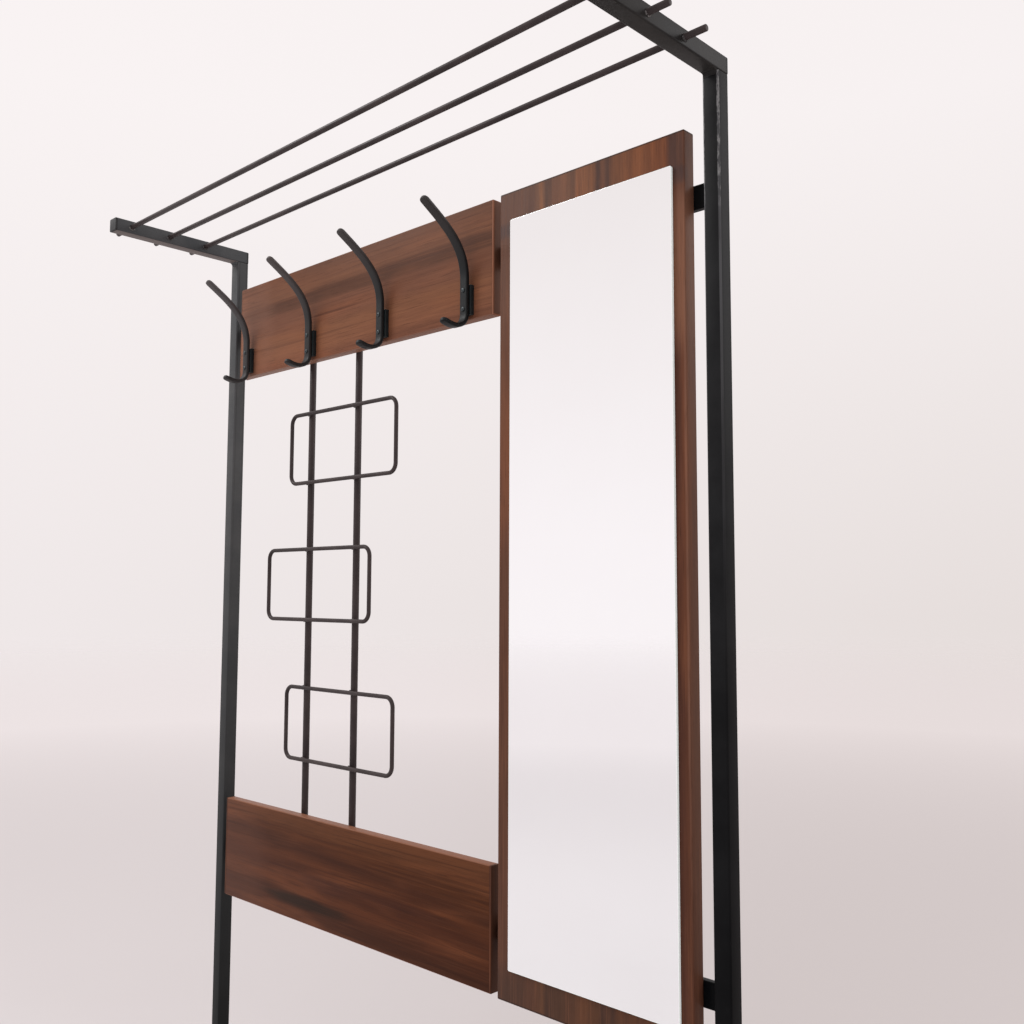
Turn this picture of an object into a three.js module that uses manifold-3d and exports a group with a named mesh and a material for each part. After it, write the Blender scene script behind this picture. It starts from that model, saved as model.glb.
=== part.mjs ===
// Hall tree: a black steel tube frame on two foot bars, with three hat rods, a wooden hook board,
// a lower board, a tall mirror on a wooden panel and a rack of three wire loops.
// Millimetres. X runs along the width, Y towards the wall, Z up. The floor is Z = 0.

import * as THREE from 'three';
import { mergeVertices } from 'three/addons/utils/BufferGeometryUtils.js';
import Module from 'manifold-3d';

const wasm = await Module();
wasm.setup();

// ---- driving dimensions ----------------------------------------------------------------

const gap = 0.3;

// frame
const halfWidth = 526;
const halfDepth = 150;
const footHeel = 44;
const height = 1851;
const tube = 22;
const tubeCorner = 2.2;
const wall = 1.5;
const capThickness = 3;
const glideHeight = 4;
const filletSize = 5;

// hat shelf
const rodRadius = 4;
const rodStub = 29;
const hatRodDepths = [-121, -52, 17];
const hatRodNames = ['front', 'middle', 'rear'];

// crossbars
const barHeight = 30;
const barDepth = 10;
const barCentre = 1234.4;
const barSpread = 455;

// boards
const boardLeft = -484;
const boardRight = 162;
const lowerBoardExtra = 3.5;
const hookBoardShift = 2.5;
const boardFront = 79.5;
const hookBoardLow = 1605;
const lowerBoardLow = 701;
const boardTall = 163.5;
const lipping = 3;

// mirror
const panelLeft = 181.5;
const panelRight = 483.5;
const panelFront = 75.5;
const panelLow = 701;
const panelHigh = 1767.5;
const glassSide = 19.4;
const glassEnd = 41.5;
const glassShift = 3.5;
const glassThickness = 4.2;

// hooks
const hookCount = 4;
const hookFirst = -444;
const hookPitch = 187.3;
const hookWidth = 14.5;
const hookThickness = 6;
const hookRound = 2;
const hookPlane = 69.2;
const spacerWidth = 18;
const spacerTall = 43;
const spacerLow = 1610.6;
const screwHeights = [1645.1, 1618.1];
const screwNames = ['upper', 'lower'];

// wire rack
const rackCentre = -223.2;
const rackRodRadius = 5.5;
const rackLift = 1;
const rackRodSpread = 62.7;
const loopWidth = 275;
const loopTall = 116;
const loopCorner = 15;
const loopWire = 3.25;
const loopPitch = 227;
const loopShift = 30;

// ---- derived planes --------------------------------------------------------------------

const frameBack = halfDepth - footHeel;
const postFront = frameBack - tube;
const barFront = frameBack - barDepth;
const boardBack = barFront - gap;
const armLow = height - tube;
const armMiddle = height - tube / 2;
const upperBar = barCentre + barSpread;
const lowerBar = barCentre - barSpread;
const rackMiddle = barCentre + rackLift;

// ---- materials -------------------------------------------------------------------------

function finish(colour, roughness, metalness) {
  return new THREE.MeshStandardMaterial({ color: colour, roughness: roughness, metalness: metalness });
}

const frameLacquer = () => finish(0x26282a, 0.42, 0.35);
const rodLacquer = () => finish(0x2c2a2a, 0.4, 0.4);
const hookIron = () => finish(0x20282a, 0.45, 0.5);
const screwSteel = () => finish(0x34383a, 0.35, 0.8);
const plastic = () => finish(0x1d1d1e, 0.6, 0);
const boardWood = () => finish(0x825844, 0.5, 0);
const lippingWood = () => finish(0x8e6654, 0.5, 0);
const panelWood = () => finish(0x684c40, 0.5, 0);
const mirrorFinish = () => finish(0xf2f1f0, 0.03, 1);

// ---- helpers ---------------------------------------------------------------------------

const tree = new THREE.Group();
tree.name = 'hall_tree';

function add(name, geometry, material) {
  const mesh = new THREE.Mesh(geometry, material);
  mesh.name = name;
  tree.add(mesh);
}

function solid(geometry) {
  const bare = geometry.clone();
  bare.deleteAttribute('normal');
  bare.deleteAttribute('uv');
  const welded = mergeVertices(bare, 1e-4);
  const mesh = new wasm.Mesh({
    numProp: 3,
    vertProperties: Float32Array.from(welded.attributes.position.array),
    triVerts: Uint32Array.from(welded.index.array)
  });
  return new wasm.Manifold(mesh);
}

function surface(body) {
  const mesh = body.getMesh();
  const geometry = new THREE.BufferGeometry();
  geometry.setAttribute('position', new THREE.BufferAttribute(mesh.vertProperties, 3));
  geometry.setIndex(new THREE.BufferAttribute(mesh.triVerts, 1));
  geometry.computeVertexNormals();
  return geometry;
}

function cut(geometry, cutters) {
  let body = solid(geometry);
  for (const cutter of cutters) {
    body = body.subtract(solid(cutter));
  }
  return surface(body);
}

function roundedRect(width, tall, corner) {
  const x = width / 2 - corner;
  const y = tall / 2 - corner;
  const shape = new THREE.Shape();
  shape.absarc(x, -y, corner, -Math.PI / 2, 0, false);
  shape.absarc(x, y, corner, 0, Math.PI / 2, false);
  shape.absarc(-x, y, corner, Math.PI / 2, Math.PI, false);
  shape.absarc(-x, -y, corner, Math.PI, Math.PI * 1.5, false);
  return shape;
}

function tubeShape(width, tall) {
  const shape = roundedRect(width, tall, tubeCorner);
  shape.holes.push(roundedRect(width - 2 * wall, tall - 2 * wall, tubeCorner - wall));
  return shape;
}

function extrude(shape, depth, bevel = 0, segments = 3) {
  return new THREE.ExtrudeGeometry(shape, {
    depth: depth - 2 * bevel,
    curveSegments: segments,
    bevelEnabled: bevel > 0,
    bevelSize: bevel,
    bevelThickness: bevel,
    bevelOffset: -bevel,
    bevelSegments: 1
  }).translate(0, 0, bevel);
}

// A shape drawn in (x, y), standing up from low to high.
function upright(shape, x, y, low, high) {
  return extrude(shape, high - low).translate(x, y, low);
}

// A shape drawn in (y, z), running along the width from left to right.
const turnAcross = new THREE.Matrix4().makeBasis(
  new THREE.Vector3(0, 1, 0),
  new THREE.Vector3(0, 0, 1),
  new THREE.Vector3(1, 0, 0)
);

function across(shape, left, right, y, z) {
  return extrude(shape, right - left).applyMatrix4(turnAcross).translate(left, y, z);
}

// A shape drawn in (x, z), running forward from the back plane to the front plane.
const turnForward = new THREE.Matrix4().makeBasis(
  new THREE.Vector3(1, 0, 0),
  new THREE.Vector3(0, 0, 1),
  new THREE.Vector3(0, -1, 0)
);

function forward(shape, x, z, front, back, bevel = 0) {
  return extrude(shape, back - front, bevel).applyMatrix4(turnForward).translate(x, back, z);
}

function block(left, right, front, back, low, high) {
  const box = new THREE.BoxGeometry(right - left, back - front, high - low);
  return box.translate((left + right) / 2, (front + back) / 2, (low + high) / 2);
}

// Round bar along the width with a small bevel on both ends.
function roundBar(radius, left, right, y, z) {
  const chamfer = 0.6;
  const profile = [
    new THREE.Vector2(0, left),
    new THREE.Vector2(radius - chamfer, left),
    new THREE.Vector2(radius, left + chamfer),
    new THREE.Vector2(radius, right - chamfer),
    new THREE.Vector2(radius - chamfer, right),
    new THREE.Vector2(0, right)
  ];
  const bar = new THREE.LatheGeometry(profile, 20);
  return bar.rotateZ(-Math.PI / 2).translate(0, y, z);
}

// ---- steel frame -----------------------------------------------------------------------

const sides = [{ name: 'left', sign: -1 }, { name: 'right', sign: 1 }];

for (const side of sides) {
  const x = side.sign * (halfWidth - tube / 2);
  const square = tubeShape(tube, tube);

  const footMiddle = glideHeight + gap + tube / 2;
  const postLow = footMiddle + tube / 2 + gap;
  add(side.name + '_upright', upright(square, x, frameBack - tube / 2, postLow, armLow - gap),
    frameLacquer());

  const armFront = -halfDepth + capThickness + gap;
  const armBack = frameBack - capThickness - gap;
  const arm = forward(square, x, armMiddle, armFront, armBack);
  const fillet = new THREE.Shape();
  fillet.moveTo(0, 0.5);
  fillet.lineTo(-filletSize, 0.5);
  fillet.lineTo(-filletSize, 0);
  fillet.quadraticCurveTo(0, 0, 0, -filletSize);
  fillet.closePath();
  const bead = across(fillet, x - tube / 2 + 3, x + tube / 2 - 3, postFront - gap, armLow);
  const rodHoles = hatRodDepths.map(
    (y) => roundBar(rodRadius + gap, x - tube, x + tube, y, armMiddle));
  const body = rodHoles.reduce(
    (shell, hole) => shell.subtract(solid(hole)),
    solid(arm).add(solid(bead)));
  add(side.name + '_hat_arm', surface(body), frameLacquer());

  const foot = forward(square, x, footMiddle, armFront, halfDepth - capThickness - gap);
  add(side.name + '_foot_bar', foot, frameLacquer());

  const capShape = roundedRect(tube, tube, tubeCorner);
  const cap = forward(capShape, x, 0, 0, capThickness, 1);
  const heel = halfDepth - capThickness;
  add(side.name + '_arm_front_cap', cap.clone().translate(0, -halfDepth, armMiddle), plastic());
  add(side.name + '_arm_rear_cap', cap.clone().translate(0, armBack + gap, armMiddle), plastic());
  add(side.name + '_foot_front_cap', cap.clone().translate(0, -halfDepth, footMiddle), plastic());
  add(side.name + '_foot_rear_cap', cap.clone().translate(0, heel, footMiddle), plastic());

  const glide = extrude(roundedRect(tube - 2, tube - 2, 4), glideHeight, 0.8);
  add(side.name + '_rear_glide', glide.clone().translate(x, halfDepth - tube, 0), plastic());
  add(side.name + '_front_glide', glide.clone().translate(x, -halfDepth + tube, 0), plastic());
}

// ---- hat rods --------------------------------------------------------------------------

const rodEnd = halfWidth + rodStub;

hatRodDepths.forEach((y, i) => {
  const rod = roundBar(rodRadius, -rodEnd, rodEnd, y, armMiddle);
  add('hat_rod_' + hatRodNames[i], surface(solid(rod)), rodLacquer());
});

// ---- fixing screws behind the boards ---------------------------------------------------

// Countersunk screw driven forward from the back of a crossbar.
const fixingHead = 4;
const fixingShank = 1.8;
const fixingLength = 20;

function fixingScrew(x, z, ease) {
  const profile = [
    new THREE.Vector2(0, -fixingLength - ease),
    new THREE.Vector2(fixingShank + ease, -fixingLength + 1.2 - ease),
    new THREE.Vector2(fixingShank + ease, -2.6),
    new THREE.Vector2(fixingHead + ease, -0.4),
    new THREE.Vector2(fixingHead + ease, -0.1 + 2 * ease),
    new THREE.Vector2(0, -0.1 + 2 * ease)
  ];
  const screw = new THREE.LatheGeometry(profile, 12);
  return screw.translate(x, frameBack, z);
}

const fixings = [
  { node: 'hook_board_screw', x: boardLeft + 90, z: upperBar },
  { node: 'hook_board_screw', x: boardRight - 90, z: upperBar },
  { node: 'lower_board_screw', x: boardLeft + 90, z: lowerBar },
  { node: 'lower_board_screw', x: boardRight - 90, z: lowerBar },
  { node: 'panel_top_screw', x: panelLeft + 50, z: upperBar },
  { node: 'panel_top_screw', x: panelRight - 50, z: upperBar },
  { node: 'panel_bottom_screw', x: panelLeft + 50, z: lowerBar },
  { node: 'panel_bottom_screw', x: panelRight - 50, z: lowerBar }
];

fixings.forEach((fixing, i) => {
  const name = fixing.node + (i % 2 === 0 ? '_left' : '_right');
  add(name, surface(solid(fixingScrew(fixing.x, fixing.z, 0))), screwSteel());
});

function fixingHoles(low, high) {
  const inside = fixings.filter((fixing) => fixing.z > low && fixing.z < high);
  return inside.map((fixing) => fixingScrew(fixing.x, fixing.z, gap));
}

// ---- crossbars -------------------------------------------------------------------------

const barEnd = halfWidth - tube - gap;
const crossbars = [{ name: 'upper', z: upperBar }, { name: 'lower', z: lowerBar }];

for (const bar of crossbars) {
  const run = across(tubeShape(barDepth, barHeight), -barEnd, barEnd, frameBack - barDepth / 2, bar.z);
  const holes = fixingHoles(bar.z - barHeight, bar.z + barHeight);
  add(bar.name + '_crossbar', cut(run, holes), frameLacquer());
}

// ---- boards ----------------------------------------------------------------------------

const hookPlaces = Array.from({ length: hookCount }, (_, i) => hookFirst + i * hookPitch);

// Pan-head screw driven back into the board, its head bearing on the hook bar.
const screwHead = 3.2;
const screwShank = 1.7;

function hookScrew(x, z, ease) {
  const front = hookPlane - hookThickness / 2;
  const profile = [
    new THREE.Vector2(0, front - 1.7),
    new THREE.Vector2(screwHead * 0.6, front - 1.5),
    new THREE.Vector2(screwHead, front - 0.9),
    new THREE.Vector2(screwHead, front - gap),
    new THREE.Vector2(screwShank + ease, front - gap),
    new THREE.Vector2(screwShank + ease, boardFront + 7 + ease),
    new THREE.Vector2(0, boardFront + 8.5 + ease)
  ];
  const screw = new THREE.LatheGeometry(profile, 12);
  return screw.translate(x, 0, z);
}

function hookScrewHoles() {
  return hookPlaces.flatMap((x) => screwHeights.map((z) => hookScrew(x, z, gap)));
}

const boards = [
  { name: 'hook_board', low: hookBoardLow, extra: 0, shift: hookBoardShift, holes: hookScrewHoles() },
  { name: 'lower_board', low: lowerBoardLow, extra: lowerBoardExtra, shift: 0, holes: [] }
];

for (const board of boards) {
  const high = board.low + boardTall;
  const left = boardLeft + board.shift - board.extra;
  const right = boardRight + board.shift + board.extra;
  const coreLeft = left + lipping + gap;
  const coreRight = right - lipping - gap;
  const core = block(coreLeft, coreRight, boardFront, boardBack, board.low, high);
  const holes = board.holes.concat(fixingHoles(board.low, high));
  add(board.name, cut(core, holes), boardWood());
  add(board.name + '_left_lipping',
    block(left, left + lipping, boardFront, boardBack, board.low, high), lippingWood());
  add(board.name + '_right_lipping',
    block(right - lipping, right, boardFront, boardBack, board.low, high), lippingWood());
}

// ---- mirror ----------------------------------------------------------------------------

const panel = block(panelLeft, panelRight, panelFront, boardBack, panelLow, panelHigh);
const panelHoles = fixings.slice(4).map((fixing) => fixingScrew(fixing.x, fixing.z, gap));
add('mirror_panel', cut(panel, panelHoles), panelWood());

const glassWidth = panelRight - panelLeft - 2 * glassSide;
const glassTall = panelHigh - panelLow - 2 * glassEnd;
const glassBack = panelFront - gap;
const glass = forward(
  roundedRect(glassWidth, glassTall, 1.5),
  (panelLeft + panelRight) / 2 + glassShift,
  (panelLow + panelHigh) / 2,
  glassBack - glassThickness,
  glassBack,
  0.6
);
add('mirror_glass', glass, mirrorFinish());

// ---- hooks -----------------------------------------------------------------------------

// Centre line of the bent bar in the (y, z) plane: short lip, straight shank, long prong.
const lipCurve = new THREE.CubicBezierCurve(
  new THREE.Vector2(27.9, 1596.2),
  new THREE.Vector2(54, 1585.6),
  new THREE.Vector2(hookPlane, 1595.6),
  new THREE.Vector2(hookPlane, 1611.6)
);
const prongCurve = new THREE.CubicBezierCurve(
  new THREE.Vector2(hookPlane, 1660.6),
  new THREE.Vector2(hookPlane, 1710.6),
  new THREE.Vector2(30, 1731.6),
  new THREE.Vector2(-10.3, 1757.5)
);

function offsetLine(curve, count, distance) {
  return Array.from({ length: count + 1 }, (_, i) => {
    const point = curve.getPoint(i / count);
    const along = curve.getTangent(i / count);
    return new THREE.Vector2(point.x - along.y * distance, point.y + along.x * distance);
  });
}

// Piece taken off a bar end so that the end is a half round seen square to the bar.
function endCutter(curve, at, outward) {
  const radius = hookWidth / 2 - 0.4;
  const tip = curve.getPoint(at);
  const along = curve.getTangent(at).multiplyScalar(outward);
  const shape = new THREE.Shape();
  shape.moveTo(-hookWidth, 0);
  shape.lineTo(-radius, 0);
  shape.absarc(0, 0, radius, Math.PI, 0, true);
  shape.lineTo(hookWidth, 0);
  shape.lineTo(hookWidth, hookWidth);
  shape.lineTo(-hookWidth, hookWidth);
  shape.closePath();
  const cutter = extrude(shape, 4 * hookThickness, 0, 8).translate(0, 0, -2 * hookThickness);
  const right = new THREE.Vector3(1, 0, 0);
  const ahead = new THREE.Vector3(0, along.x, along.y);
  const frame = new THREE.Matrix4().makeBasis(right, ahead, right.clone().cross(ahead));
  const centre = hookRound - radius;
  return cutter.applyMatrix4(frame)
    .translate(0, tip.x + along.x * centre, tip.y + along.y * centre);
}

const halfCore = hookThickness / 2 - hookRound;
const hookOutline = new THREE.Shape([
  ...offsetLine(lipCurve, 6, halfCore),
  ...offsetLine(prongCurve, 10, halfCore),
  ...offsetLine(prongCurve, 10, -halfCore).reverse(),
  ...offsetLine(lipCurve, 6, -halfCore).reverse()
]);

const hookBlank = new THREE.ExtrudeGeometry(hookOutline, {
  depth: hookWidth - 2 * hookRound,
  bevelEnabled: true,
  bevelSize: hookRound,
  bevelThickness: hookRound,
  bevelSegments: 2
});
hookBlank.applyMatrix4(turnAcross).translate(hookRound - hookWidth / 2, 0, 0);

const hookCutters = [endCutter(lipCurve, 0, -1), endCutter(prongCurve, 1, 1)];

hookPlaces.forEach((x, i) => {
  const name = 'hook_' + (i + 1);
  const holes = screwHeights.map((z) => hookScrew(0, z, gap));
  add(name + '_bar', cut(hookBlank, hookCutters.concat(holes)).translate(x, 0, 0), hookIron());

  const spacerBack = boardFront - gap;
  const spacerFront = hookPlane + hookThickness / 2 + gap;
  const spacerShape = roundedRect(spacerWidth, spacerTall, 1);
  const spacer = forward(spacerShape, 0, spacerLow + spacerTall / 2, spacerFront, spacerBack, 0.6);
  add(name + '_spacer', cut(spacer, holes).translate(x, 0, 0), hookIron());

  screwHeights.forEach((z, j) => {
    add(name + '_' + screwNames[j] + '_screw', surface(solid(hookScrew(x, z, 0))), screwSteel());
  });
});

// ---- wire rack -------------------------------------------------------------------------

for (const side of sides) {
  const x = rackCentre + side.sign * rackRodSpread;
  const circle = new THREE.Shape();
  circle.absarc(0, 0, rackRodRadius, 0, 2 * Math.PI, false);
  const low = lowerBar + barHeight / 2 + gap;
  const high = upperBar - barHeight / 2 - gap;
  const rod = extrude(circle, high - low, 0, 24).translate(x, barFront + rackRodRadius, low);
  add('rack_rod_' + side.name, rod, rodLacquer());
}

// A bevelled ring whose bevel is as deep as the wire radius has a round section.
const flat = 0.2;
const ringShape = roundedRect(loopWidth + 2 * flat, loopTall + 2 * flat, loopCorner + flat);
ringShape.holes.push(roundedRect(loopWidth - 2 * flat, loopTall - 2 * flat, loopCorner - flat));
const ring = new THREE.ExtrudeGeometry(ringShape, {
  depth: 2 * flat,
  curveSegments: 5,
  bevelEnabled: true,
  bevelSize: loopWire - flat,
  bevelThickness: loopWire - flat,
  bevelSegments: 3
});
ring.applyMatrix4(turnForward).translate(0, barFront - gap - loopWire + flat, 0);

const loops = [
  { name: 'upper', rise: loopPitch, shift: loopShift },
  { name: 'middle', rise: 0, shift: -loopShift },
  { name: 'lower', rise: -loopPitch, shift: loopShift }
];

for (const loop of loops) {
  const placed = ring.clone().translate(rackCentre + loop.shift, 0, rackMiddle + loop.rise);
  add('rack_loop_' + loop.name, surface(solid(placed)), rodLacquer());
}

export default tree;
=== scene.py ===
"""Looks for the hall tree: satin black steel, stained wood, silvered glass. Metres, same frame as the CAD."""

import math
import random

import bmesh
import bpy
from mathutils import Matrix, Vector, noise


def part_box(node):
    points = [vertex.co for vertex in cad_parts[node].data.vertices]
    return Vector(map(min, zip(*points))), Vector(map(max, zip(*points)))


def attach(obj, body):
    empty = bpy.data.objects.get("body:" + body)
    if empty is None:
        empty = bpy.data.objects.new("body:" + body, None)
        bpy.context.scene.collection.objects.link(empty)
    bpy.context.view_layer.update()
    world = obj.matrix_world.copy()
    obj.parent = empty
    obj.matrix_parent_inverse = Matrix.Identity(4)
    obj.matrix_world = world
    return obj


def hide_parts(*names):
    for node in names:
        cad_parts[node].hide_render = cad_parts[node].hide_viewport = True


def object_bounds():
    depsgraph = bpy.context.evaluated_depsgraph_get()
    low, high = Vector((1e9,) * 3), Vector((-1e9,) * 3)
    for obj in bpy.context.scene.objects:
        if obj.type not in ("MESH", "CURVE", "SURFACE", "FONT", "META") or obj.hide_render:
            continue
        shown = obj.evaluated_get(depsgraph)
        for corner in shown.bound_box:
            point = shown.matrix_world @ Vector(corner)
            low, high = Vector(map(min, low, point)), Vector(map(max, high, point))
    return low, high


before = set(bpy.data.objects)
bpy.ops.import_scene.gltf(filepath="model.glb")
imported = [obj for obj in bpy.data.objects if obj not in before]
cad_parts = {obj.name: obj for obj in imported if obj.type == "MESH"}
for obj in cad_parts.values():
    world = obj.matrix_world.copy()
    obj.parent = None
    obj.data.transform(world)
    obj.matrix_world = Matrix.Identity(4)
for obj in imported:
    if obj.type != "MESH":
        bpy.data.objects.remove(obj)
cad_low, cad_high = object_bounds()
random.seed(7)

MM = 0.001
SIDES = ("left", "right")
LEVELS = ("upper", "lower")
HAT_RODS = ("front", "middle", "rear")
scene = bpy.context.scene


# ---------------------------------------------------------------- shader helpers


class Shader:
    """A node tree under construction: each call adds one node and returns its first output."""

    def __init__(self, name="", tree=None):
        if tree is None:
            self.material = bpy.data.materials.new(name)
            self.material.use_nodes = True
            tree = self.material.node_tree
            tree.nodes.clear()
            self.out = tree.nodes.new("ShaderNodeOutputMaterial")
        self.tree = tree

    def put(self, socket, value):
        if isinstance(value, bpy.types.NodeSocket):
            self.tree.links.new(value, socket)
        elif value is not None:
            socket.default_value = value

    def node(self, kind, inputs, **settings):
        made = self.tree.nodes.new("ShaderNode" + kind)
        for key, value in settings.items():
            setattr(made, key, value)
        for key, value in inputs.items():
            self.put(made.inputs[key], value)
        return made

    def coords(self, scale, shift=(0, 0, 0)):
        place = self.node("TexCoord", {}).outputs["Object"]
        return self.node("Mapping", {"Vector": place, "Scale": scale, "Location": shift}).outputs["Vector"]

    def noise(self, vector, scale, detail=4.0, roughness=0.55, distortion=0.0):
        made = self.node("TexNoise", {"Vector": vector, "Scale": scale, "Detail": detail,
                                      "Roughness": roughness, "Distortion": distortion})
        return made.outputs["Fac"]

    def math(self, operation, a, b=None, c=None):
        made = self.tree.nodes.new("ShaderNodeMath")
        made.operation = operation
        for socket, value in zip(made.inputs, (a, b, c)):
            self.put(socket, value)
        return made.outputs["Value"]

    def span(self, value, low, high, to_low=0.0, to_high=1.0, smooth=True):
        made = self.node("MapRange", {"Value": value, "From Min": low, "From Max": high,
                                      "To Min": to_low, "To Max": to_high},
                         interpolation_type="SMOOTHSTEP" if smooth else "LINEAR")
        return made.outputs["Result"]

    def ramp(self, value, stops):
        made = self.node("ValToRGB", {"Fac": value})
        made.color_ramp.interpolation = "EASE"
        elements = made.color_ramp.elements
        while len(elements) < len(stops):
            elements.new(0.5)
        for element, (position, colour) in zip(elements, sorted(stops)):
            element.position = position
            element.color = (*linear(colour), 1)
        return made.outputs["Color"]

    def mix(self, factor, a, b):
        made = self.tree.nodes.new("ShaderNodeMix")
        made.data_type = "RGBA"
        self.put(made.inputs[0], factor)
        for socket, value in ((made.inputs[6], a), (made.inputs[7], b)):
            self.put(socket, value if isinstance(value, bpy.types.NodeSocket) else (*linear(value), 1))
        return made.outputs[2]

    def axes(self, vector):
        made = self.node("SeparateXYZ", {"Vector": vector})
        return made.outputs["X"], made.outputs["Y"], made.outputs["Z"]

    def bump(self, height, strength, distance):
        made = self.node("Bump", {"Height": height, "Strength": strength, "Distance": distance})
        return made.outputs["Normal"]

    def finish(self, **inputs):
        shader = self.node("BsdfPrincipled", {key.replace("_", " "): value for key, value in inputs.items()})
        self.tree.links.new(shader.outputs["BSDF"], self.out.inputs["Surface"])
        return self.material


def linear(colour):
    """A 0-255 display colour as linear light."""
    shares = [c / 255 for c in colour]
    return tuple((c / 12.92) if c < 0.04045 else ((c + 0.055) / 1.055) ** 2.4 for c in shares)


# ---------------------------------------------------------------- kinds of material

# Painted highlight along the long edges of the posts, and the dark line beside it.
ARRIS_HIGHLIGHT = (92, 92, 94)
DARK_SIDE_LINE = (8, 9, 10)
CHIP = (150, 149, 149)
# Painted glints on the top edges of the hook blocks.
TOP_GLINT = (176, 174, 170)
DUST = (80, 76, 74)
WARM_WOOD = (150, 90, 58)
PORE = (52, 32, 24)
PALE_FIBRE = (152, 100, 72)


def arris_highlight_and_chips(s, colour, where, half, low, high, amount, chipped):
    """Colour of an upright tube: a painted highlight on its long edges, a dark line beside them on its left
    and right faces, both fading lower down, and chips in the paint near the top.
    """
    x, y, z = where
    across, into = s.math("ABSOLUTE", x), s.math("ABSOLUTE", y)
    corner = s.math("ADD", across, into)
    reach = s.math("MULTIPLY", s.span(z, low, high), amount)
    bloom = s.noise(s.coords((60, 60, 9)), 1.0, 5.0, 0.6)
    # Painted highlight along the corner, fading lower down.
    line = s.math("MULTIPLY", s.span(corner, half * 1.76, half * 1.85), s.span(bloom, 0.3, 0.6, 0.55, 1.0))
    colour = s.mix(s.math("MULTIPLY", line, reach), colour, ARRIS_HIGHLIGHT)
    # A dark line beside it on the left and right faces.
    inner, outer = s.span(corner, half * 1.54, half * 1.62), s.span(corner, half * 1.74, half * 1.66)
    side_line = s.math("MULTIPLY", inner, outer)
    side_line = s.math("MULTIPLY", side_line, s.span(s.math("SUBTRACT", across, into), 0.0, 0.001))
    colour = s.mix(s.math("MULTIPLY", side_line, reach), colour, DARK_SIDE_LINE)
    flakes = s.noise(s.coords((90, 90, 26)), 3.0, 6.0, 0.7)
    bare = s.math("MULTIPLY", s.span(z, chipped, chipped + 0.06), s.span(flakes, 0.46, 0.56))
    bare = s.math("MULTIPLY", bare, s.span(corner, half * 1.72, half * 1.85))
    return s.mix(s.math("MULTIPLY", bare, 0.6), colour, CHIP)


def lacquer(name, dark, light, rough=0.3, level=0.08, arris=None, drift=None, under=None, glint_height=None):
    """Satin lacquer over steel. Heights are in the piece's own space.

    arris   (half size, low, high, amount, chips): an upright tube, a painted highlight on its long edges and a
            dark line beside them, both growing from low up to high, and chips in the paint above the height
            chips
    drift   (low, high, amount, shade): painted shade, a colour that takes over towards the low end
    under   (height, amount, shade): painted light, the colour of a thin band on an underside
    rubbed  the height of a top edge with painted glints in spots
    """
    s = Shader(name)
    where = s.coords((1, 1, 1))
    x, y, z = s.axes(where)
    cloud = s.noise(where, 9.0, 5.0, 0.6)
    grit = s.noise(where, 420.0, 3.0, 0.6)
    peel = s.noise(where, 130.0, 2.0, 0.5)
    colour = s.mix(s.span(cloud, 0.35, 0.7), dark, light)
    # Painted shade: darker towards the low end.
    if drift:
        low, high, amount, shade = drift
        colour = s.mix(s.span(z, low, high, amount, 0.0, False), colour, shade)
    # Painted highlight and a dark line along the edges, and chips in the paint.
    if arris:
        colour = arris_highlight_and_chips(s, colour, (x, y, z), *arris)
    # Painted light on the underside.
    if under:
        height, amount, shade = under
        above = s.span(z, height + 0.0006, height + 0.0002)
        below = s.span(z, height - 0.0006, height - 0.0002)
        colour = s.mix(s.math("MULTIPLY", s.math("MULTIPLY", above, below), amount), colour, shade)
    # Painted glints in spots along a top edge.
    if glint_height is not None:
        top = s.span(z, glint_height - 0.0012, glint_height)
        spots = s.span(s.noise(where, 160.0, 4.0, 0.6), 0.5, 0.58)
        colour = s.mix(s.math("MULTIPLY", top, spots), colour, TOP_GLINT)
    dust = s.span(s.noise(where, 55.0, 6.0, 0.75), 0.66, 0.78, 0.0, 0.2)
    colour = s.mix(dust, colour, DUST)
    height = s.math("MULTIPLY_ADD", grit, 0.25, peel)
    return s.finish(Base_Color=colour, Metallic=0.0, Roughness=s.math("MULTIPLY_ADD", cloud, 0.2, rough),
                    IOR=1.45, Specular_IOR_Level=level, Normal=s.bump(height, 0.12, 0.0006))


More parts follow.
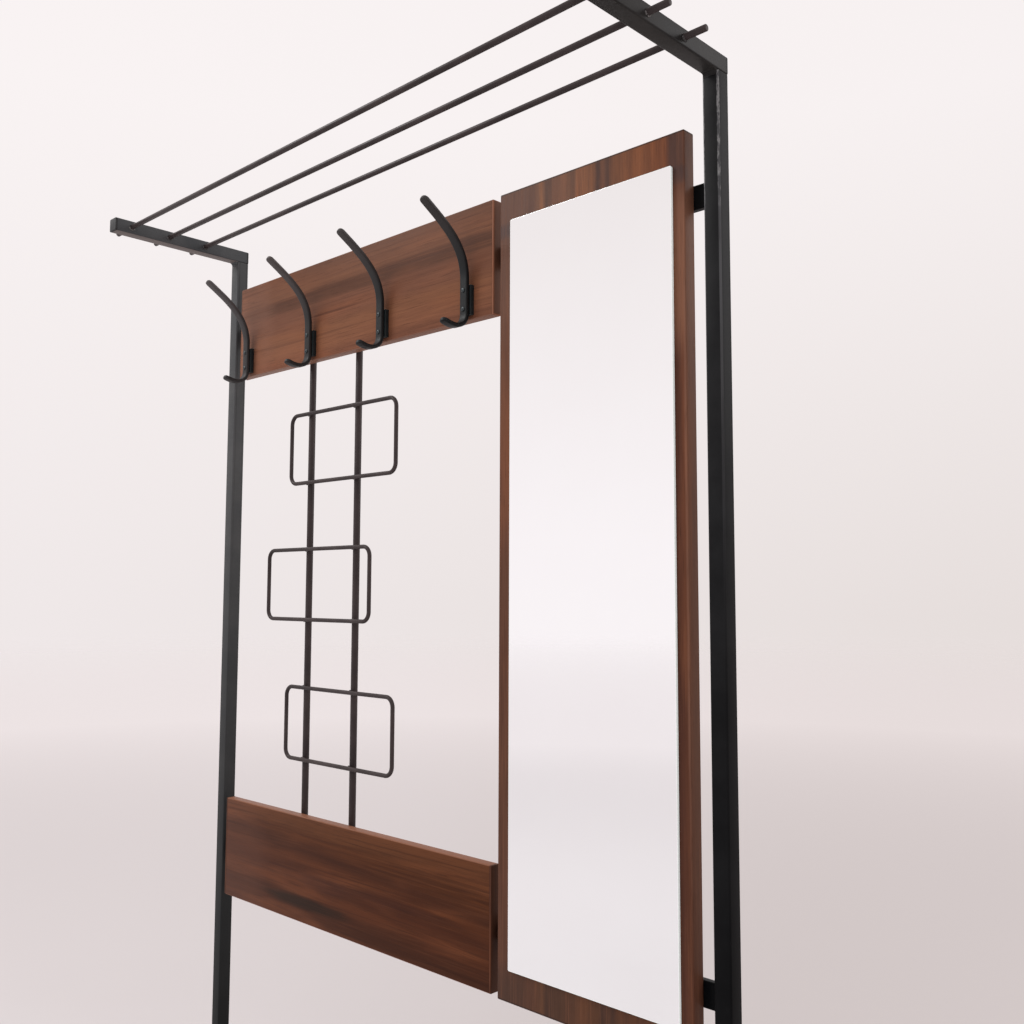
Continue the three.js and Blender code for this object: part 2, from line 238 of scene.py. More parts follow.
def timber(name, stops, across, along, bow, streak, tint,
           features=(), slope=0.0, edge=None, fleck=0.22, lines=0.0):
    """Stained wood.

    stops     bands of colour met from one edge of the figure (0) to the other (1)
    across    (axis, low, high): where those edges are
    along     axis that the grain follows
    bow       how far the bands wander; slope is how fast they drift sideways
    streak    strength of the streaks in the colour tint, and lines that of thin veins in it
    features  (centre, size, amount, shade): patches of another colour, places and sizes in millimetres
    edge      (axis, start, amount, shade): colour of the faces past start, on both sides
    fleck     strength of the pale fibres
    """
    s = Shader(name)
    place = s.coords((1, 1, 1))
    where = dict(zip("XYZ", s.axes(place)))
    figure_axis, low, high = across

    def stretched(fine, long):
        return s.coords(tuple(long if axis == along else fine for axis in "XYZ"))

    wander = s.noise(stretched(2.2, 2.0), 1.0, 3.0, 0.45)
    shake = s.noise(stretched(26.0, 5.0), 1.0, 4.0, 0.6, 0.4)
    u = s.math("DIVIDE", s.math("SUBTRACT", where[figure_axis], low), high - low)
    u = s.math("MULTIPLY_ADD", where[along], slope, u)
    u = s.math("ADD", u, s.math("MULTIPLY_ADD", wander, bow, -bow * 0.5))
    u = s.math("ADD", u, s.math("MULTIPLY_ADD", shake, 0.07, -0.035))
    colour = s.ramp(u, stops)
    bands = s.noise(stretched(85.0, 4.0), 1.0, 6.0, 0.62, 0.6)
    colour = s.mix(s.span(bands, 0.42, 0.62, 0.0, streak), colour, tint)
    warm = s.noise(stretched(20.0, 3.0), 1.0, 3.0, 0.5)
    colour = s.mix(s.span(warm, 0.5, 0.72, 0.0, 0.3), colour, WARM_WOOD)
    for centre_mm, size_mm, amount, shade in features:
        shift = tuple(-c / v for c, v in zip(centre_mm, size_mm))
        mask = None
        for part in s.axes(s.coords(tuple(1.0 / (v * MM) for v in size_mm), shift)):
            square = s.math("MULTIPLY", part, part)
            mask = square if mask is None else s.math("ADD", mask, square)
        mask = s.math("ADD", mask, s.math("MULTIPLY_ADD", shake, 1.1, -0.55))
        colour = s.mix(s.span(mask, 1.25, 0.2, 0.0, amount), colour, shade)
    if lines:
        veins = s.noise(stretched(210.0, 2.6), 1.0, 3.0, 0.5, 0.3)
        colour = s.mix(s.span(veins, 0.53, 0.64, 0.0, lines), colour, tint)
    pores = s.noise(stretched(900.0, 24.0), 1.0, 3.0, 0.6)
    fibres = s.noise(stretched(320.0, 7.0), 1.0, 4.0, 0.65)
    colour = s.mix(s.span(pores, 0.56, 0.68, 0.0, 0.38), colour, PORE)
    colour = s.mix(s.span(fibres, 0.5, 0.68, 0.0, fleck), colour, PALE_FIBRE)
    if edge:
        edge_axis, start, amount, shade = edge
        away = s.math("ABSOLUTE", where[edge_axis])
        colour = s.mix(s.span(away, start - 0.0006, start, 0.0, amount), colour, shade)
    return s.finish(Base_Color=colour, Roughness=s.math("MULTIPLY_ADD", fibres, 0.18, 0.33), IOR=1.48,
                    Specular_IOR_Level=0.06, Normal=s.bump(s.math("SUBTRACT", fibres, pores), 0.14, 0.0004))


def plastic(name):
    s = Shader(name)
    grain = s.noise(s.coords((1, 1, 1)), 900.0, 3.0, 0.6)
    return s.finish(Base_Color=s.mix(grain, (24, 24, 25), (40, 40, 41)),
                    Roughness=s.math("MULTIPLY_ADD", grain, 0.2, 0.45),
                    Specular_IOR_Level=0.35, Normal=s.bump(grain, 0.15, 0.0003))


def silvered(name):
    s = Shader(name)
    haze = s.noise(s.coords((1, 1, 1)), 6.0, 5.0, 0.6)
    return s.finish(Base_Color=s.mix(haze, (249, 247, 247), (252, 251, 251)), Metallic=1.0,
                    Roughness=s.span(haze, 0.3, 0.8, 0.006, 0.022, False))


def polished_glowing_edge(name):
    s = Shader(name)
    wheel = s.noise(s.coords((40, 40, 900)), 1.0, 3.0, 0.6)
    colour = s.mix(wheel, (208, 216, 213), (236, 240, 238))
    # Emission makes the polished edge glow: painted light that keeps it bright.
    return s.finish(Base_Color=colour, Roughness=s.math("MULTIPLY_ADD", wheel, 0.12, 0.08), IOR=1.52,
                    Coat_Weight=0.6, Coat_Roughness=0.05, Emission_Color=colour, Emission_Strength=0.3,
                    Normal=s.bump(wheel, 0.1, 0.0002))


def steel(name, tone):
    s = Shader(name)
    brush = s.noise(s.coords((1, 1, 1)), 700.0, 3.0, 0.6)
    return s.finish(Base_Color=s.mix(brush, tuple(0.8 * c for c in tone), tone), Metallic=0.85,
                    Roughness=s.math("MULTIPLY_ADD", brush, 0.2, 0.3), Normal=s.bump(brush, 0.12, 0.0002))


# ---------------------------------------------------------------- materials

TUBE = 0.022
UNDER_ARM = -TUBE / 2

# Painted light and shade: the left post is lighter than the right one, both grow darker towards the bottom,
# and both carry a painted highlight along their edges.
post_lacquer = {
    "left": lacquer("left_post_lacquer", (68, 69, 70), (80, 80, 80),
                    drift=(-0.5, 0.55, 0.97, (22, 23, 23)), arris=(TUBE / 2, 0.2, 0.8, 0.35, 1.0)),
    "right": lacquer("right_post_lacquer", (22, 22, 23), (33, 33, 34), level=0.05,
                     drift=(-0.4, 0.3, 0.92, (2, 2, 3)), arris=(TUBE / 2, 0.2, 0.85, 0.9, 0.72)),
}
# Painted light: the left arm is lighter than the right one, and both undersides get a paler band, on the left
# a painted reflection of the floor.
arm_lacquer = {
    "left": lacquer("left_arm_lacquer", (64, 66, 68), (78, 79, 80), under=(UNDER_ARM, 0.5, (140, 127, 122))),
    "right": lacquer("right_arm_lacquer", (31, 30, 30), (45, 43, 42), under=(UNDER_ARM, 0.5, (60, 58, 56))),
}
foot_lacquer = lacquer("foot_lacquer", (18, 18, 19), (28, 28, 29))
# The crossbars are darker than the posts: painted shade behind the boards.
bar_lacquer = lacquer("crossbar_lacquer", (10, 12, 14), (18, 19, 20))
weld_lacquer = lacquer("weld_lacquer", (48, 48, 50), (128, 124, 122))
rod_lacquer = lacquer("rod_lacquer", (52, 45, 45), (68, 59, 58), level=0.15)

# Two tones of each hook's prong, and the darker tone of its shank and lip. The hooks are painted lighter
# towards the left, and the darker shank tone is painted shade.
HOOK_TONES = (
    ((80, 75, 75), (94, 88, 87), (44, 42, 42)),
    ((78, 72, 71), (92, 85, 83), (32, 31, 31)),
    ((65, 61, 60), (80, 74, 72), (22, 24, 25)),
    ((54, 51, 50), (68, 64, 63), (10, 14, 16)),
)
hook_iron = [
    lacquer(f"hook_{number}_iron", dark, light, rough=0.34, level=0.2, drift=(0.0, 0.08, 0.95, shank))
    for number, (dark, light, shank) in enumerate(HOOK_TONES, 1)
]
# The blocks carry painted glints on their top edges.
block_iron = lacquer("block_iron", (22, 29, 31), (38, 43, 44), rough=0.34, level=0.2, glint_height=0.0214)
black_plastic = plastic("black_plastic")
mirror_silver = silvered("mirror_silver")
glass_edge = polished_glowing_edge("glass_edge")
dark_screw = steel("dark_screw", (74, 80, 82))
zinc_screw = steel("zinc_screw", (176, 176, 172))


# ---------------------------------------------------------------- mesh helpers

# For a bar along an axis: the axes of its width and height, then its own.
ORDER = {"X": (1, 2, 0), "Y": (0, 2, 1), "Z": (0, 1, 2)}
LEAST_CORNER = 0.0002
ROD_CHAMFER = 0.0008


def turned(axis, u, v, w):
    """The point at u, v across a bar and w along it."""
    return Vector({"X": (w, u, v), "Y": (u, w, v), "Z": (u, v, w)}[axis])


def outline(width, tall, corner, steps=5):
    """Rounded rectangle, anticlockwise."""
    points = []
    for k, (sx, sy) in enumerate(((1, -1), (1, 1), (-1, 1), (-1, -1))):
        cx, cy = sx * (width / 2 - corner), sy * (tall / 2 - corner)
        for i in range(steps + 1):
            angle = math.radians(-90 + 90 * k + 90 * i / steps)
            points.append((cx + corner * math.cos(angle), cy + corner * math.sin(angle)))
    return points


def circle(radius, count):
    turn = 2 * math.pi / count
    return [(radius * math.cos(i * turn), radius * math.sin(i * turn)) for i in range(count)]


def join(rings, closed=False):
    """Vertices and faces of a skin over a row of rings."""
    count = len(rings[0])
    verts = [v for ring in rings for v in ring]
    faces = []
    for r in range(len(rings) if closed else len(rings) - 1):
        a, b = r * count, ((r + 1) % len(rings)) * count
        for i in range(count):
            j = (i + 1) % count
            faces.append((a + i, a + j, b + j, b + i))
    if not closed:
        faces.append(tuple(range(count))[::-1])
        faces.append(tuple(len(verts) - count + i for i in range(count)))
    return verts, faces


def gather(parts):
    """Several (vertices, faces) as one."""
    verts, faces = [], []
    for more_verts, more_faces in parts:
        start = len(verts)
        verts.extend(more_verts)
        faces.extend(tuple(i + start for i in f) for f in more_faces)
    return verts, faces


def piece(name, verts, faces, material, slot, replaces=(), centre=None, sharp=40):
    """A finished mesh object that rides on the frame. Its origin is its own centre, so patterns follow it."""
    centre = Vector(centre) if centre is not None else Vector((0, 0, 0))
    mesh = bpy.data.meshes.new(name)
    mesh.from_pydata([Vector(v) - centre for v in verts], [], faces)
    edit = bmesh.new()
    edit.from_mesh(mesh)
    bmesh.ops.recalc_face_normals(edit, faces=edit.faces)
    edit.to_mesh(mesh)
    edit.free()
    for polygon in mesh.polygons:
        polygon.use_smooth = True
    mesh.set_sharp_from_angle(angle=math.radians(sharp))
    made = bpy.data.objects.new(name, mesh)
    scene.collection.objects.link(made)
    made.location = centre
    mesh.materials.append(material)
    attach(made, "root")
    if replaces:
        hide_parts(*replaces)
    return made


def bar_rings(low, high, axis, corner, ends):
    """Rings of a bar with rounded long edges and ends. ends is the end radius, or one for each end."""
    iu, iv, iw = ORDER[axis]
    cu, cv = (low[iu] + high[iu]) / 2, (low[iv] + high[iv]) / 2
    width, tall = high[iu] - low[iu], high[iv] - low[iv]
    first, last = ends if isinstance(ends, tuple) else (ends, ends)
    rings = []

    def ring(w, inset):
        points = outline(width - 2 * inset, tall - 2 * inset, max(corner - inset, LEAST_CORNER))
        rings.append([turned(axis, cu + u, cv + v, w) for u, v in points])

    quarter = [math.radians(a) for a in (0, 30, 60, 90)]
    for a in reversed(quarter):
        ring(low[iw] + first * (1 - math.sin(a)), first * (1 - math.cos(a)))
    for a in quarter:
        ring(high[iw] - last * (1 - math.sin(a)), last * (1 - math.cos(a)))
    return rings


def bar(name, node, axis, corner, ends, material, slot):
    """A rounded bar in the box of a CAD node, which it stands for."""
    low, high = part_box(node)
    verts, faces = join(bar_rings(low, high, axis, corner, ends))
    return piece(name, verts, faces, material, slot, (node,), (low + high) / 2)


def rod(name, node, axis):
    """A round rod with broken ends, in the box of a CAD node, which it stands for."""
    low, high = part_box(node)
    centre = (low + high) / 2
    iu, iv, iw = ORDER[axis]
    radius = (high[iu] - low[iu]) / 2
    rings = []
    for w, inset in ((low[iw], ROD_CHAMFER), (low[iw] + ROD_CHAMFER * 0.4, ROD_CHAMFER * 0.35),
                     (low[iw] + ROD_CHAMFER, 0), (high[iw] - ROD_CHAMFER, 0),
                     (high[iw] - ROD_CHAMFER * 0.4, ROD_CHAMFER * 0.35), (high[iw], ROD_CHAMFER)):
        rings.append([turned(axis, centre[iu] + u, centre[iv] + v, w) for u, v in circle(radius - inset, 32)])
    verts, faces = join(rings)
    return piece(name, verts, faces, rod_lacquer, "rod_lacquer", (node,), centre, 50)


def blob(centre, radii, seed):
    """A lump of weld metal."""
    edit = bmesh.new()
    bmesh.ops.create_icosphere(edit, subdivisions=3, radius=1.0)
    verts = []
    for v in edit.verts:
        k = 1 + 0.25 * noise.noise(v.co * 1.7 + Vector((seed * 3.1, seed, 0)))
        verts.append(Vector(centre) + Vector(v.co[i] * radii[i] * k for i in range(3)))
    faces = [tuple(v.index for v in f.verts) for f in edit.faces]
    edit.free()
    return verts, faces


# ---------------------------------------------------------------- steel frame

TUBE_CORNER = 0.0024
SAWN_END = 0.0003
CAP_EDGE = 0.0012
CAP_JOINT = 0.0002
GLIDE_CORNER = 0.004
GLIDE_ENDS = (0.0012, 0.0006)
BEAD_REACH = 0.0055


def corner_bead(low, high, wall):
    """The weld fillet under an arm, in the corner with the front of its post (wall)."""
    rings = []
    for x, share in ((low.x + 0.0016, 0.55), (low.x + 0.0024, 1.0),
                     (high.x - 0.0024, 1.0), (high.x - 0.0016, 0.55)):
        reach = BEAD_REACH * share
        ring = [Vector((x, wall - 0.0003, low.z + 0.001)), Vector((x, wall - reach, low.z + 0.001))]
        for i in range(7):
            a = math.radians(90 * i / 6)
            ring.append(Vector((x, wall - reach * (1 - math.sin(a)) - 0.0003,
                                low.z - reach * (1 - math.cos(a)) - 0.00005)))
        rings.append(ring)
    return join(rings)


for side in SIDES:
    bar(side + "_post", side + "_upright", "Z", TUBE_CORNER, SAWN_END, post_lacquer[side], "frame_lacquer")
    for part in ("arm", "foot"):
        for end, radii in (("front", (CAP_EDGE, CAP_JOINT)), ("rear", (CAP_JOINT, CAP_EDGE))):
            bar(f"{side}_{part}_cap_{end}", f"{side}_{part}_{end}_cap", "Y", TUBE_CORNER, radii,
                black_plastic, "end_plastic")
    bar(side + "_foot", side + "_foot_bar", "Y", TUBE_CORNER, SAWN_END, foot_lacquer, "frame_lacquer")
    for end in ("rear", "front"):
        bar(f"{side}_glide_{end}", f"{side}_{end}_glide", "Z", GLIDE_CORNER, GLIDE_ENDS,
            black_plastic, "end_plastic")

    post_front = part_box(side + "_upright")[0].y
    arm_low, arm_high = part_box(side + "_hat_arm")
    arm_low.z = arm_high.z - TUBE  # the CAD arm's box also holds its corner bead, below the tube
    arm = join(bar_rings(arm_low, arm_high, "Y", TUBE_CORNER, SAWN_END))
    verts, faces = gather([arm, corner_bead(arm_low, arm_high, post_front)])
    piece(side + "_arm", verts, faces, arm_lacquer[side], "frame_lacquer", (side + "_hat_arm",),
          (arm_low + arm_high) / 2)

# The crossbars keep the CAD mesh.
for level in LEVELS:
    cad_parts[level + "_crossbar"].data.materials[0] = bar_lacquer

for name in HAT_RODS:
    rod("hat_bar_" + name, "hat_rod_" + name, "X")

for side in SIDES:
    rod("rack_post_" + side, "rack_rod_" + side, "Z")


# ---------------------------------------------------------------- wire loops and welds

LOOP_CORNER = 0.015


def wire_loop(name, node):
    low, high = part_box(node)
    centre = (low + high) / 2
    radius = (high.y - low.y) / 2
    width, tall = high.x - low.x - 2 * radius, high.z - low.z - 2 * radius
    rings = []
    for k, (sx, sz) in enumerate(((1, -1), (1, 1), (-1, 1), (-1, -1))):
        cx, cz = sx * (width / 2 - LOOP_CORNER), sz * (tall / 2 - LOOP_CORNER)
        for i in range(11):
            a = math.radians(-90 + 90 * k + 9 * i)
            nx, nz = math.cos(a), math.sin(a)
            x, z = cx + LOOP_CORNER * nx, cz + LOOP_CORNER * nz
            rings.append([centre + Vector((x + nx * u, v, z + nz * u)) for u, v in circle(radius, 20)])
    verts, faces = join(rings, closed=True)
    piece(name, verts, faces, rod_lacquer, "rod_lacquer", (node,), centre, 60)
    return centre, tall


welds = []
for index, level in enumerate(("upper", "middle", "lower")):
    centre, tall = wire_loop("wire_loop_" + level, "rack_loop_" + level)
    for rack_side in SIDES:
        low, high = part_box("rack_rod_" + rack_side)
        x = (low.x + high.x) / 2
        for sign in (-1, 1):
            z = centre.z + sign * tall / 2
            for part, dx in ((0, -0.0026), (1, 0.0026)):
                welds.append(blob((x + dx, low.y - 0.0006, z + random.uniform(-0.0006, 0.0006)),
                                  (0.0032, 0.0021, 0.0036), 10 * index + 3 * sign + part + x))
piece("rack_welds", *gather(welds), rod_lacquer, "rod_lacquer", (), None, 180)

WELD_RING = 0.0042
welds = []
for side, sign in zip(SIDES, (-1, 1)):
    # Beads half round the hat rods, on both faces of the arm.
    arm_low, arm_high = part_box(side + "_hat_arm")
    for name in HAT_RODS:
        low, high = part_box("hat_rod_" + name)
        y, z = (low.y + high.y) / 2, (low.z + high.z) / 2
        for x, turn in ((arm_low.x, -1), (arm_high.x, 1)):
            for k in range(5):
                a = math.radians(200 + 35 * k + random.uniform(-8, 8))
                spot = (x + turn * 0.0004, y + WELD_RING * math.cos(a), z + WELD_RING * math.sin(a))
                welds.append(blob(spot, (0.0012, 0.0014, 0.0014), k + 7 * turn + y * 90))
    # Beads round the crossbars, against the inner face of the post.
    inner = arm_low.x if sign > 0 else arm_high.x
    for level in LEVELS:
        low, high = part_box(level + "_crossbar")
        for k in range(12):
            z = low.z + 0.002 + (high.z - low.z - 0.004) * k / 11
            spot = (inner - sign * 0.0006, low.y - 0.0001, z)
            welds.append(blob(spot, (0.0014, 0.0010, 0.0017), k + sign * 3))
        for k in range(4):
            y = low.y + 0.0012 + 0.0076 * k / 3
            for z in (low.z, high.z):
                welds.append(blob((inner - sign * 0.0006, y, z), (0.0014, 0.0016, 0.0010), k * 5 + sign))
# Beads round the ends of the rack rods, against the crossbars.
RACK_RING = 0.0052
for rack_side in SIDES:
    low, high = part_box("rack_rod_" + rack_side)
    x, y = (low.x + high.x) / 2, (low.y + high.y) / 2
    for z in (low.z, high.z):
        for k in range(14):
            a = 2 * math.pi * k / 14
            welds.append(blob((x + RACK_RING * math.cos(a), min(y + RACK_RING * math.sin(a), y + 0.0030), z),
                              (0.0015, 0.0012, 0.0013), k * 2 + z))
piece("frame_welds", *gather(welds), weld_lacquer, "frame_lacquer", (), None, 180)


# ---------------------------------------------------------------- boards

hook_wood = timber(
    "hook_board_wood",
    [(0.0, (114, 73, 55)), (0.16, (127, 83, 60)), (0.3, (123, 81, 58)), (0.44, (114, 75, 57)),
     (0.55, (110, 72, 55)), (0.63, (88, 58, 44)), (0.7, (82, 53, 40)), (0.76, (112, 74, 54)),
     (0.86, (112, 73, 53)), (1.0, (102, 67, 50))],
    ("Z", -0.08, 0.08), "X", 0.16, 0.28, (93, 60, 45), fleck=0.13, lines=0.45,
    edge=("Z", 0.0808, 0.6, (140, 106, 91)),
    features=[((-40, 0, -8), (95, 40, 2.5), 0.65, (84, 52, 40)),
              ((-290, 0, 0), (80, 40, 130), 0.45, (134, 94, 76)),
              ((200, 0, 33), (130, 40, 9), 0.6, (84, 56, 44))])
low_wood = timber(
    "lower_board_wood",
    [(0.0, (78, 44, 29)), (0.14, (67, 37, 24)), (0.3, (84, 46, 28)), (0.42, (71, 38, 24)),
     (0.55, (82, 45, 27)), (0.66, (66, 36, 23)), (0.76, (82, 46, 27)), (0.88, (84, 49, 30)),
     (1.0, (94, 56, 36))],
    ("Z", -0.08, 0.08), "X", 0.2, 0.4, (52, 28, 19), slope=0.3, fleck=0.05, lines=0.36,
    edge=("Z", 0.0808, 0.7, (139, 96, 76)),
    features=[((-88, 0, -51), (120, 40, 12), 0.9, (40, 27, 20)),
              ((110, 0, -8), (190, 40, 8), 0.5, (46, 25, 21)),
              ((-40, 0, -14), (80, 40, 14), 0.5, (60, 34, 27)),
              ((-300, 0, 0), (110, 40, 130), 0.3, (96, 62, 49)),
              ((40, 0, 70), (400, 40, 16), 0.45, (98, 60, 38))])
LIP_TONES = {
    "hook_board": (
        "lipping_wood", (112, 76, 60),
        [(0.0, (144, 98, 77)), (0.4, (152, 108, 87)), (0.7, (140, 94, 73)), (1.0, (150, 104, 83))]),
    "lower_board": (
        "lower_lipping_wood", (60, 38, 29),
        [(0.0, (76, 47, 36)), (0.4, (84, 52, 40)), (0.7, (72, 45, 34)), (1.0, (80, 50, 39))]),
}
# Lippings: their end faces get a darker colour, painted shade.
lip_wood = {
    board: timber(name, stops, ("X", -0.0015, 0.0015), "Z", 0.2, 0.3, tint,
                  edge=("X", 0.0015, 0.7, (58, 38, 29)))
    for board, (name, tint, stops) in LIP_TONES.items()
}
panel_wood = timber(
    "panel_wood",
    [(0.0, (92, 61, 47)), (0.2, (91, 59, 44)), (0.235, (98, 64, 44)), (0.255, (122, 78, 49)),
     (0.285, (80, 52, 38)), (0.33, (94, 61, 42)), (0.42, (91, 59, 40)), (0.47, (124, 75, 44)),
     (0.54, (113, 69, 41)), (0.575, (70, 44, 34)), (0.6, (96, 59, 40)), (0.625, (74, 47, 36)),
     (0.66, (109, 66, 40)), (0.78, (120, 71, 42)), (0.9, (113, 65, 39)), (0.945, (80, 49, 39)),
     (1.0, (91, 56, 41))],
    ("X", -0.151, 0.151), "Z", 0.05, 0.35, (65, 39, 29), edge=("Z", 0.5308, 0.7, (56, 40, 33)), fleck=0.14,
    features=[((0, -10, 480), (600, 9, 13), 0.6, (62, 50, 50)),
              ((140, 0, 510), (14, 60, 40), 0.5, (72, 54, 48)),
              ((142, 0, 370), (20, 60, 110), 0.55, (134, 92, 70)),
              ((0, 0, -520), (400, 60, 42), 0.6, (66, 50, 43)),
              ((152, 0, 60), (5, 60, 560), 0.5, (126, 92, 76))])

BOARD_EDGE = 0.0016
BOARD_JOINT = 0.00025
LIP_JOINT = 0.0001
for board, wood, lip_end in (("hook_board", hook_wood, 0.0026), ("lower_board", low_wood, 0.0012)):
    bar(board + "_core", board, "X", BOARD_EDGE, BOARD_JOINT, wood, "board_wood")
    bar(board + "_lip_left", board + "_left_lipping", "X", BOARD_EDGE, (lip_end, LIP_JOINT),
        lip_wood[board], "lipping_wood")
    bar(board + "_lip_right", board + "_right_lipping", "X", BOARD_EDGE, (LIP_JOINT, lip_end),
        lip_wood[board], "lipping_wood")
bar("panel", "mirror_panel", "Z", BOARD_EDGE, BOARD_EDGE, panel_wood, "panel_wood")


# ---------------------------------------------------------------- mirror

GLASS_CORNER = 0.0018
GLASS_ARRIS = 0.0007
SMOOTH_BELOW = 5
FLAT_FACE = 0.97

low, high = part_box("mirror_glass")
verts, faces = join(bar_rings(low, high, "Y", GLASS_CORNER, GLASS_ARRIS))
glass = piece("glass", verts, faces, mirror_silver, "mirror_glass", ("mirror_glass",), (low + high) / 2,
              SMOOTH_BELOW)
glass.data.materials.append(glass_edge)
for polygon in glass.data.polygons:
    if abs(polygon.normal.y) < FLAT_FACE:
        polygon.material_index = 1


# ---------------------------------------------------------------- hooks

HOOK_WIDTH = 14.5
HOOK_THICK = 6
HOOK_TIP = 6.8
HOOK_ARRIS = 2.0


def bezier(points, count):
    made = []
    a, b, c, d = (Vector(p) for p in points)
    for i in range(count + 1):
        t = i / count
        k = 1 - t
        made.append(a * k**3 + b * 3 * k * k * t + c * 3 * k * t * t + d * t**3)
    return made


# Centre line in (y, z), millimetres: lip, straight shank, prong.
HOOK_LINE = (bezier([(27.9, 1596.2), (54, 1585.6), (69.2, 1595.6), (69.2, 1611.6)], 26)
             + bezier([(69.2, 1612), (69.2, 1625), (69.2, 1645), (69.2, 1660)], 10)
             + bezier([(69.2, 1660.6), (69.2, 1710.6), (30, 1731.6), (-10.3, 1757.5)], 44))


def extended(line, extra):
    first = (line[0] - line[1]).normalized() * extra
    last = (line[-1] - line[-2]).normalized() * extra
    return [line[0] + first] + line + [line[-1] + last]


def roundness(depth, radius):
    """Share of the full size at a depth from the end of something with a round end."""
    return math.sqrt(max(1 - (1 - min(depth, radius) / radius) ** 2, 0))


def hook_mesh(x):
    """A flat bar with well rounded arrises and half-round ends."""
    line = extended(HOOK_LINE, 1.9)
    lengths = [0.0]
    for a, b in zip(line, line[1:]):
        lengths.append(lengths[-1] + (b - a).length)
    total = lengths[-1]

    def at(s):
        for i in range(len(line) - 1):
            if s <= lengths[i + 1] + 1e-9:
                break
        k = (s - lengths[i]) / (lengths[i + 1] - lengths[i])
        return line[i].lerp(line[i + 1], k), (line[i + 1] - line[i]).normalized()

    tip = [HOOK_TIP * (1 - math.cos(math.radians(a))) for a in (6, 14, 24, 34, 46, 58, 72, 90)]
    body = [HOOK_TIP + (total - 2 * HOOK_TIP) * i / 80 for i in range(1, 80)]
    rings = []
    for s in tip + body + [total - s for s in reversed(tip)]:
        point, along = at(s)
        edge = min(s, total - s)
        width = HOOK_WIDTH * roundness(edge, HOOK_TIP)
        thick = HOOK_THICK * min(1, 0.35 + 0.65 * roundness(edge, HOOK_ARRIS))
        corner = min(HOOK_ARRIS, width * 0.46, thick * 0.46)
        wobble = 0.12 * noise.noise(Vector((s * 0.05, x * 40, 0)))
        across = Vector((-along.y, along.x))
        ring = []
        for u, v in outline(width, thick, corner, 4):
            p = point + across * (v + wobble)
            ring.append(Vector((x + u * MM, p.x * MM, p.y * MM)))
        rings.append(ring)
    return join(rings)


def screw_mesh(centre, profile, facing):
    """A screw head with a cross recess, seen along Y. facing is -1 towards the front, 1 towards the back.

    profile rows are (radius, height, cross), where cross is 0 for a round ring and 1 for a cross shaped one.
    """
    count = 32
    rings = []
    for radius, height, cross in profile:
        ring = []
        for i in range(count):
            a = 2 * math.pi * i / count
            k = radius * (0.36 + 0.64 * abs(math.cos(2 * a)) ** 3) if cross else radius
            ring.append(Vector((centre[0] + k * math.cos(a), centre[1] + facing * height,
                                centre[2] + k * math.sin(a))))
        rings.append(ring)
    return join(rings)


def pan_head(radius, rise):
    return [(radius, 0, 0), (radius, rise * 0.45, 0), (radius * 0.93, rise * 0.68, 0),
            (radius * 0.78, rise * 0.87, 0), (radius * 0.6, rise * 0.98, 0), (radius * 0.5, rise, 1),
            (radius * 0.42, rise * 0.3, 1)]


def countersunk_head(radius):
    return [(0.0018, -0.0026, 0), (radius, -0.0004, 0), (radius, -0.0001, 0), (radius - 0.0001, 0, 0),
            (radius * 0.62, 0, 0), (radius * 0.56, 0, 1), (radius * 0.42, -0.0013, 1)]


HEAD_RISE = 0.0017
SPACER_CORNER = 0.0012
SPACER_ARRIS = 0.0009
for number, iron in enumerate(hook_iron, 1):
    name = f"hook_{number}"
    low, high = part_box(name + "_bar")
    verts, faces = hook_mesh((low.x + high.x) / 2)
    piece(name, verts, faces, iron, "hook_iron", (name + "_bar",), (low + high) / 2, 60)
    bar(name + "_block", name + "_spacer", "Y", SPACER_CORNER, SPACER_ARRIS, block_iron, "hook_iron")
    for level in LEVELS:
        node = f"{name}_{level}_screw"
        low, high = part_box(node)
        centre = ((low.x + high.x) / 2, low.y + HEAD_RISE, (low.z + high.z) / 2)
        verts, faces = screw_mesh(centre, pan_head((high.x - low.x) / 2, HEAD_RISE), -1)
        piece(f"{name}_screw_{level}", verts, faces, dark_screw, "hook_screw_steel", (node,), centre, 50)

for board in ("hook_board", "lower_board", "panel_top", "panel_bottom"):
    for side in SIDES:
        node = f"{board}_screw_{side}"
        low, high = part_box(node)
        centre = ((low.x + high.x) / 2, high.y, (low.z + high.z) / 2)
        verts, faces = screw_mesh(centre, countersunk_head((high.x - low.x) / 2), 1)
        piece(f"{board}_fixing_{side}", verts, faces, zinc_screw, "fixing_steel", (node,), centre, 50)


# ---------------------------------------------------------------- floor, light, camera

# The direction in which the backdrop gets darker, from left to right past the tree.
DARKER_X, DARKER_Y = 0.722, 0.692


def sideways(s, x, y):
    return s.math("ADD", s.math("MULTIPLY", x, DARKER_X), s.math("MULTIPLY", y, DARKER_Y))


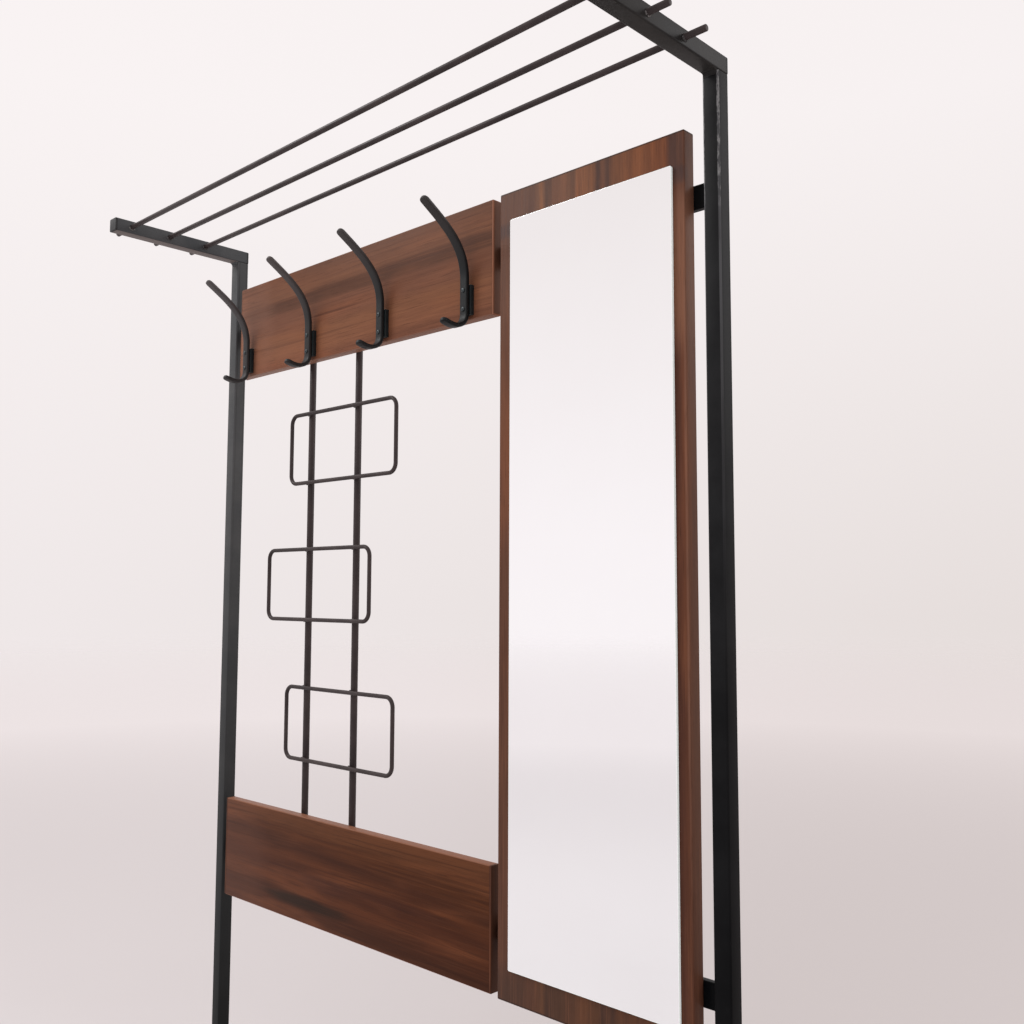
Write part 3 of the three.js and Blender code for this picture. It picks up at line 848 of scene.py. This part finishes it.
def floor_material():
    """Pale floor with painted shade, darker behind the tree and towards the right with faint darker patches
    close to it, that fades into the surround far away.
    """
    s = Shader("floor")
    where = s.coords((1, 1, 1))
    x, y, _ = s.axes(where)
    reach = s.math("SQRT", s.math("ADD", s.math("MULTIPLY", x, x), s.math("MULTIPLY", y, y)))
    lean = s.span(s.math("DIVIDE", sideways(s, x, y), reach), -0.3, 0.5)
    near = s.mix(lean, (204, 199, 199), (196, 190, 189))
    far = s.mix(lean, (244, 240, 240), (237, 232, 231))
    tone = s.mix(s.span(reach, 1.5, 9.0, 0.0, 1.0, False), near, far)
    front = s.mix(s.span(reach, 2.0, 7.0, 0.0, 1.0, False), (216, 216, 218), (250, 250, 252))
    tone = s.mix(s.span(y, 0.6, -1.0), tone, front)
    mottle = s.noise(where, 1.6, 3.0, 0.5)
    mottle = s.math("MULTIPLY", s.span(mottle, 0.35, 0.75, 0.0, 0.1), s.span(reach, 3.0, 1.2))
    tone = s.mix(mottle, tone, (190, 184, 182))
    s.finish(Base_Color=tone, Roughness=0.9, Specular_IOR_Level=0.05)
    surface = s.out.inputs["Surface"].links[0].from_socket
    clear = s.node("BsdfTransparent", {}).outputs["BSDF"]
    blend = s.node("MixShader", {"Fac": s.span(reach, 6.0, 30.0)})
    s.put(blend.inputs[1], surface)
    s.put(blend.inputs[2], clear)
    s.put(s.out.inputs["Surface"], blend.outputs["Shader"])
    return s.material


def surround():
    """Soft pale light from everywhere, warmer and dimmer low down on the right."""
    world = bpy.data.worlds.new("studio")
    scene.world = world
    world.use_nodes = True
    s = Shader(tree=world.node_tree)
    x, y, z = s.axes(s.node("TexCoord", {}).outputs["Generated"])
    side = sideways(s, x, y)
    lean = s.span(side, -0.42, 0.42, 0.0, 1.0, False)
    level = s.mix(lean, (239, 232, 232), (230, 222, 220))
    raised = s.mix(lean, (249, 243, 243), (247, 241, 241))
    colour = s.mix(s.span(z, -0.02, 0.42, 0.0, 1.0, False), level, raised)
    facing = s.mix(s.span(z, 0.05, 0.4, 0.0, 1.0, False), (253, 249, 251), (241, 236, 236))
    colour = s.mix(s.span(side, -0.6, -0.85), colour, facing)
    background = world.node_tree.nodes["Background"]
    s.put(background.inputs["Color"], colour)
    background.inputs["Strength"].default_value = 1.0


def lamp(name, position, target, size, power):
    data = bpy.data.lights.new(name, "AREA")
    data.shape = "RECTANGLE"
    data.size, data.size_y = size
    data.energy = power
    made = bpy.data.objects.new(name, data)
    scene.collection.objects.link(made)
    made.location = position
    made.rotation_euler = (Vector(target) - Vector(position)).to_track_quat("-Z", "Y").to_euler()


edit = bmesh.new()
bmesh.ops.create_circle(edit, cap_ends=True, radius=45, segments=96)
mesh = bpy.data.meshes.new("floor")
edit.to_mesh(mesh)
edit.free()
floor = bpy.data.objects.new("floor", mesh)
scene.collection.objects.link(floor)
floor.location.z = cad_low.z
mesh.materials.append(floor_material())

surround()
lamp("side_light", (2.3, 2.2, 2.8), (0.4, 0, 1.6), (1.6, 1.6), 22)
lamp("front_light", (-1.8, -1.6, 3.5), (0, 0, 1.3), (1.2, 1.2), 52)

scene.view_settings.view_transform = "Standard"
scene.view_settings.look = "None"
scene.view_settings.exposure = 0.0

CAMERA_PLACE = (1.15665, -0.91567, 1.22288)
CAMERA_HEADING, CAMERA_RISE, CAMERA_ROLL = 43.822, 4.926, 0.176

lens = bpy.data.cameras.new("camera")
lens.sensor_width = 36.0
lens.lens = 36.56
lens.shift_y = -0.0089
lens.clip_start = 0.05
lens.clip_end = 200
camera = bpy.data.objects.new("camera", lens)
scene.collection.objects.link(camera)
camera.matrix_world = (Matrix.Translation(CAMERA_PLACE)
                       @ Matrix.Rotation(math.radians(CAMERA_HEADING), 4, "Z")
                       @ Matrix.Rotation(math.radians(90 + CAMERA_RISE), 4, "X")
                       @ Matrix.Rotation(math.radians(CAMERA_ROLL), 4, "Z"))
scene.camera = camera
